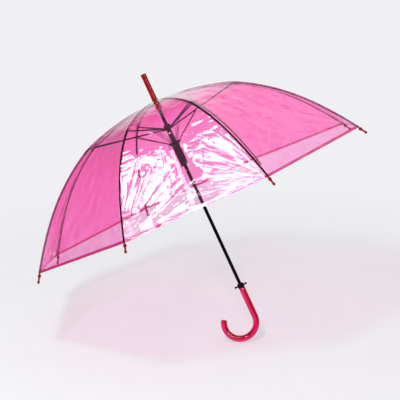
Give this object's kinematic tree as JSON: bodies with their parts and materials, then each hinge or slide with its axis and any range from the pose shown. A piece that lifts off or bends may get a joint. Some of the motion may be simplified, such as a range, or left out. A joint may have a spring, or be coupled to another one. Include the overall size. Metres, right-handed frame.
{
  "type": "bubble umbrella",
  "caption": "Open bubble umbrella with a clear tinted film canopy, folding ribs and stretchers on sliding runners, a push-button catch and a hook handle.",
  "frame": {"origin": "on the shaft axis at the middle of the straight hand grip", "axes": "+Z along the shaft to the ferrule, the hook curls towards -X"},
  "size_m": [0.9692, 0.9692, 0.7942],
  "materials": {
    "film": "clear tinted vinyl film",
    "red_plastic": "gloss",
    "handle_plastic": "translucent gloss",
    "black_steel": "satin",
    "black_plastic": "satin",
    "rib_paint": "satin",
    "wire_steel": "bright",
    "strap": "clear tinted vinyl strip"
  },
  "bodies": {
    "umbrella": {"shaft_tube": "black_steel", "ferrule": "red_plastic", "top_notch": "red_plastic", "canopy_crown": "film", "catch_housing": "black_plastic", "handle": "handle_plastic", "handle_end_plug": "handle_plastic"},
    "upper_runner": {"upper_runner": "black_plastic", "opening_spring": "wire_steel"},
    "lower_runner": {"lower_runner": "black_plastic"},
    "release_latch": {"release_latch": "black_plastic"},
    "upper_rib_1": {"upper_rib_1": "rib_paint"},
    "lower_rib_1": {"lower_rib_1": "rib_paint", "rib_tip_1": "red_plastic", "canopy_panel_1": "film"},
    "stretcher_1": {"stretcher_1": "black_steel"},
    "spring_link_1": {"spring_link_1": "wire_steel"},
    "upper_rib_2": {"upper_rib_2": "rib_paint"},
    "lower_rib_2": {"lower_rib_2": "rib_paint", "rib_tip_2": "red_plastic", "canopy_panel_2": "film", "closure_strap": "strap"},
    "stretcher_2": {"stretcher_2": "black_steel"},
    "spring_link_2": {"spring_link_2": "wire_steel"},
    "upper_rib_3": {"upper_rib_3": "rib_paint"},
    "lower_rib_3": {"lower_rib_3": "rib_paint", "rib_tip_3": "red_plastic", "canopy_panel_3": "film"},
    "stretcher_3": {"stretcher_3": "black_steel"},
    "spring_link_3": {"spring_link_3": "wire_steel"},
    "upper_rib_4": {"upper_rib_4": "rib_paint"},
    "lower_rib_4": {"lower_rib_4": "rib_paint", "rib_tip_4": "red_plastic", "canopy_panel_4": "film"},
    "stretcher_4": {"stretcher_4": "black_steel"},
    "spring_link_4": {"spring_link_4": "wire_steel"},
    "upper_rib_5": {"upper_rib_5": "rib_paint"},
    "lower_rib_5": {"lower_rib_5": "rib_paint", "rib_tip_5": "red_plastic", "canopy_panel_5": "film"},
    "stretcher_5": {"stretcher_5": "black_steel"},
    "spring_link_5": {"spring_link_5": "wire_steel"},
    "upper_rib_6": {"upper_rib_6": "rib_paint"},
    "lower_rib_6": {"lower_rib_6": "rib_paint", "rib_tip_6": "red_plastic", "canopy_panel_6": "film"},
    "stretcher_6": {"stretcher_6": "black_steel"},
    "spring_link_6": {"spring_link_6": "wire_steel"},
    "upper_rib_7": {"upper_rib_7": "rib_paint"},
    "lower_rib_7": {"lower_rib_7": "rib_paint", "rib_tip_7": "red_plastic", "canopy_panel_7": "film"},
    "stretcher_7": {"stretcher_7": "black_steel"},
    "spring_link_7": {"spring_link_7": "wire_steel"},
    "upper_rib_8": {"upper_rib_8": "rib_paint"},
    "lower_rib_8": {"lower_rib_8": "rib_paint", "rib_tip_8": "red_plastic", "canopy_panel_8": "film"},
    "stretcher_8": {"stretcher_8": "black_steel"},
    "spring_link_8": {"spring_link_8": "wire_steel"}
  },
  "joints": [
    {"name": "lower_runner_slide", "type": "slide", "parent": "umbrella", "child": "lower_runner", "axis": [0, 0, 1], "range_m": [-0.3372, 0], "stiffness_N_per_m": 40, "springref_m": 0.15, "deforming": ["opening_spring", "canopy_crown"]},
    {"name": "upper_runner_slide", "type": "slide", "parent": "umbrella", "child": "upper_runner", "axis": [0, 0, 1], "range_m": [-0.3641, 0]},
    {"name": "release_press", "type": "slide", "parent": "umbrella", "child": "release_latch", "axis": [-1, 0, 0], "range_m": [0, 0.003], "stiffness_N_per_m": 400, "springref_m": -0.001},
    {"name": "rib_fold_1", "type": "hinge", "parent": "umbrella", "child": "upper_rib_1", "pos_m": [-0.01336, -0.00481, 0.6134], "axis": [-0.3387, 0.9409, 0], "range_deg": [-74.02, 0]},
    {"name": "rib_bend_1", "type": "hinge", "parent": "upper_rib_1", "child": "lower_rib_1", "pos_m": [-0.21866, -0.07872, 0.575], "axis": [-0.3387, 0.9409, 0], "range_deg": [0, 30.78], "deforming": ["canopy_panel_1"]},
    {"name": "stretcher_fold_1", "type": "hinge", "parent": "upper_rib_1", "child": "stretcher_1", "pos_m": [-0.21866, -0.07872, 0.575], "axis": [-0.3387, 0.9409, 0], "range_deg": [0, 148.04]},
    {"name": "link_fold_1", "type": "hinge", "parent": "stretcher_1", "child": "spring_link_1", "pos_m": [-0.09491, -0.03417, 0.55185], "axis": [-0.3387, 0.9409, 0], "range_deg": [-23.11, 0]},
    {"name": "rib_fold_2", "type": "hinge", "parent": "umbrella", "child": "upper_rib_2", "pos_m": [-0.00605, -0.01285, 0.6134], "axis": [-0.9048, 0.4258, 0], "range_deg": [-74.02, 0]},
    {"name": "rib_bend_2", "type": "hinge", "parent": "upper_rib_2", "child": "lower_rib_2", "pos_m": [-0.09895, -0.21028, 0.575], "axis": [-0.9048, 0.4258, 0], "range_deg": [0, 30.78], "deforming": ["canopy_panel_2", "closure_strap"]},
    {"name": "stretcher_fold_2", "type": "hinge", "parent": "upper_rib_2", "child": "stretcher_2", "pos_m": [-0.09895, -0.21028, 0.575], "axis": [-0.9048, 0.4258, 0], "range_deg": [0, 148.04]},
    {"name": "link_fold_2", "type": "hinge", "parent": "stretcher_2", "child": "spring_link_2", "pos_m": [-0.04295, -0.09127, 0.55185], "axis": [-0.9048, 0.4258, 0], "range_deg": [-23.11, 0]},
    {"name": "rib_fold_3", "type": "hinge", "parent": "umbrella", "child": "upper_rib_3", "pos_m": [0.00481, -0.01336, 0.6134], "axis": [-0.9409, -0.3387, 0], "range_deg": [-74.02, 0]},
    {"name": "rib_bend_3", "type": "hinge", "parent": "upper_rib_3", "child": "lower_rib_3", "pos_m": [0.07872, -0.21866, 0.575], "axis": [-0.9409, -0.3387, 0], "range_deg": [0, 30.78], "deforming": ["canopy_panel_3"]},
    {"name": "stretcher_fold_3", "type": "hinge", "parent": "upper_rib_3", "child": "stretcher_3", "pos_m": [0.07872, -0.21866, 0.575], "axis": [-0.9409, -0.3387, 0], "range_deg": [0, 148.04]},
    {"name": "link_fold_3", "type": "hinge", "parent": "stretcher_3", "child": "spring_link_3", "pos_m": [0.03417, -0.09491, 0.55185], "axis": [-0.9409, -0.3387, 0], "range_deg": [-23.11, 0]},
    {"name": "rib_fold_4", "type": "hinge", "parent": "umbrella", "child": "upper_rib_4", "pos_m": [0.01285, -0.00605, 0.6134], "axis": [-0.4258, -0.9048, 0], "range_deg": [-74.02, 0]},
    {"name": "rib_bend_4", "type": "hinge", "parent": "upper_rib_4", "child": "lower_rib_4", "pos_m": [0.21028, -0.09895, 0.575], "axis": [-0.4258, -0.9048, 0], "range_deg": [0, 30.78], "deforming": ["canopy_panel_4"]},
    {"name": "stretcher_fold_4", "type": "hinge", "parent": "upper_rib_4", "child": "stretcher_4", "pos_m": [0.21028, -0.09895, 0.575], "axis": [-0.4258, -0.9048, 0], "range_deg": [0, 148.04]},
    {"name": "link_fold_4", "type": "hinge", "parent": "stretcher_4", "child": "spring_link_4", "pos_m": [0.09127, -0.04295, 0.55185], "axis": [-0.4258, -0.9048, 0], "range_deg": [-23.11, 0]},
    {"name": "rib_fold_5", "type": "hinge", "parent": "umbrella", "child": "upper_rib_5", "pos_m": [0.01336, 0.00481, 0.6134], "axis": [0.3387, -0.9409, 0], "range_deg": [-74.02, 0]},
    {"name": "rib_bend_5", "type": "hinge", "parent": "upper_rib_5", "child": "lower_rib_5", "pos_m": [0.21866, 0.07872, 0.575], "axis": [0.3387, -0.9409, 0], "range_deg": [0, 30.78], "deforming": ["canopy_panel_5"]},
    {"name": "stretcher_fold_5", "type": "hinge", "parent": "upper_rib_5", "child": "stretcher_5", "pos_m": [0.21866, 0.07872, 0.575], "axis": [0.3387, -0.9409, 0], "range_deg": [0, 148.04]},
    {"name": "link_fold_5", "type": "hinge", "parent": "stretcher_5", "child": "spring_link_5", "pos_m": [0.09491, 0.03417, 0.55185], "axis": [0.3387, -0.9409, 0], "range_deg": [-23.11, 0]},
    {"name": "rib_fold_6", "type": "hinge", "parent": "umbrella", "child": "upper_rib_6", "pos_m": [0.00605, 0.01285, 0.6134], "axis": [0.9048, -0.4258, 0], "range_deg": [-74.02, 0]},
    {"name": "rib_bend_6", "type": "hinge", "parent": "upper_rib_6", "child": "lower_rib_6", "pos_m": [0.09895, 0.21028, 0.575], "axis": [0.9048, -0.4258, 0], "range_deg": [0, 30.78], "deforming": ["canopy_panel_6"]},
    {"name": "stretcher_fold_6", "type": "hinge", "parent": "upper_rib_6", "child": "stretcher_6", "pos_m": [0.09895, 0.21028, 0.575], "axis": [0.9048, -0.4258, 0], "range_deg": [0, 148.04]},
    {"name": "link_fold_6", "type": "hinge", "parent": "stretcher_6", "child": "spring_link_6", "pos_m": [0.04295, 0.09127, 0.55185], "axis": [0.9048, -0.4258, 0], "range_deg": [-23.11, 0]},
    {"name": "rib_fold_7", "type": "hinge", "parent": "umbrella", "child": "upper_rib_7", "pos_m": [-0.00481, 0.01336, 0.6134], "axis": [0.9409, 0.3387, 0], "range_deg": [-74.02, 0]},
    {"name": "rib_bend_7", "type": "hinge", "parent": "upper_rib_7", "child": "lower_rib_7", "pos_m": [-0.07872, 0.21866, 0.575], "axis": [0.9409, 0.3387, 0], "range_deg": [0, 30.78], "deforming": ["canopy_panel_7"]},
    {"name": "stretcher_fold_7", "type": "hinge", "parent": "upper_rib_7", "child": "stretcher_7", "pos_m": [-0.07872, 0.21866, 0.575], "axis": [0.9409, 0.3387, 0], "range_deg": [0, 148.04]},
    {"name": "link_fold_7", "type": "hinge", "parent": "stretcher_7", "child": "spring_link_7", "pos_m": [-0.03417, 0.09491, 0.55185], "axis": [0.9409, 0.3387, 0], "range_deg": [-23.11, 0]},
    {"name": "rib_fold_8", "type": "hinge", "parent": "umbrella", "child": "upper_rib_8", "pos_m": [-0.01285, 0.00605, 0.6134], "axis": [0.4258, 0.9048, 0], "range_deg": [-74.02, 0]},
    {"name": "rib_bend_8", "type": "hinge", "parent": "upper_rib_8", "child": "lower_rib_8", "pos_m": [-0.21028, 0.09895, 0.575], "axis": [0.4258, 0.9048, 0], "range_deg": [0, 30.78], "deforming": ["canopy_panel_8"]},
    {"name": "stretcher_fold_8", "type": "hinge", "parent": "upper_rib_8", "child": "stretcher_8", "pos_m": [-0.21028, 0.09895, 0.575], "axis": [0.4258, 0.9048, 0], "range_deg": [0, 148.04]},
    {"name": "link_fold_8", "type": "hinge", "parent": "stretcher_8", "child": "spring_link_8", "pos_m": [-0.09127, 0.04295, 0.55185], "axis": [0.4258, 0.9048, 0], "range_deg": [-23.11, 0]}
  ],
  "couplings": [
    {"joint": "upper_runner_slide", "follows": "lower_runner_slide", "ratio": 1.0791},
    {"joint": "rib_fold_1", "follows": "lower_runner_slide", "rad_per_m": 3.8312},
    {"joint": "rib_bend_1", "follows": "lower_runner_slide", "rad_per_m": -1.5929},
    {"joint": "stretcher_fold_1", "follows": "lower_runner_slide", "rad_per_m": -7.6624},
    {"joint": "link_fold_1", "follows": "lower_runner_slide", "rad_per_m": 1.196},
    {"joint": "rib_fold_2", "follows": "lower_runner_slide", "rad_per_m": 3.8312},
    {"joint": "rib_bend_2", "follows": "lower_runner_slide", "rad_per_m": -1.5929},
    {"joint": "stretcher_fold_2", "follows": "lower_runner_slide", "rad_per_m": -7.6624},
    {"joint": "link_fold_2", "follows": "lower_runner_slide", "rad_per_m": 1.196},
    {"joint": "rib_fold_3", "follows": "lower_runner_slide", "rad_per_m": 3.8312},
    {"joint": "rib_bend_3", "follows": "lower_runner_slide", "rad_per_m": -1.5929},
    {"joint": "stretcher_fold_3", "follows": "lower_runner_slide", "rad_per_m": -7.6624},
    {"joint": "link_fold_3", "follows": "lower_runner_slide", "rad_per_m": 1.196},
    {"joint": "rib_fold_4", "follows": "lower_runner_slide", "rad_per_m": 3.8312},
    {"joint": "rib_bend_4", "follows": "lower_runner_slide", "rad_per_m": -1.5929},
    {"joint": "stretcher_fold_4", "follows": "lower_runner_slide", "rad_per_m": -7.6624},
    {"joint": "link_fold_4", "follows": "lower_runner_slide", "rad_per_m": 1.196},
    {"joint": "rib_fold_5", "follows": "lower_runner_slide", "rad_per_m": 3.8312},
    {"joint": "rib_bend_5", "follows": "lower_runner_slide", "rad_per_m": -1.5929},
    {"joint": "stretcher_fold_5", "follows": "lower_runner_slide", "rad_per_m": -7.6624},
    {"joint": "link_fold_5", "follows": "lower_runner_slide", "rad_per_m": 1.196},
    {"joint": "rib_fold_6", "follows": "lower_runner_slide", "rad_per_m": 3.8312},
    {"joint": "rib_bend_6", "follows": "lower_runner_slide", "rad_per_m": -1.5929},
    {"joint": "stretcher_fold_6", "follows": "lower_runner_slide", "rad_per_m": -7.6624},
    {"joint": "link_fold_6", "follows": "lower_runner_slide", "rad_per_m": 1.196},
    {"joint": "rib_fold_7", "follows": "lower_runner_slide", "rad_per_m": 3.8312},
    {"joint": "rib_bend_7", "follows": "lower_runner_slide", "rad_per_m": -1.5929},
    {"joint": "stretcher_fold_7", "follows": "lower_runner_slide", "rad_per_m": -7.6624},
    {"joint": "link_fold_7", "follows": "lower_runner_slide", "rad_per_m": 1.196},
    {"joint": "rib_fold_8", "follows": "lower_runner_slide", "rad_per_m": 3.8312},
    {"joint": "rib_bend_8", "follows": "lower_runner_slide", "rad_per_m": -1.5929},
    {"joint": "stretcher_fold_8", "follows": "lower_runner_slide", "rad_per_m": -7.6624},
    {"joint": "link_fold_8", "follows": "lower_runner_slide", "rad_per_m": 1.196}
  ]
}
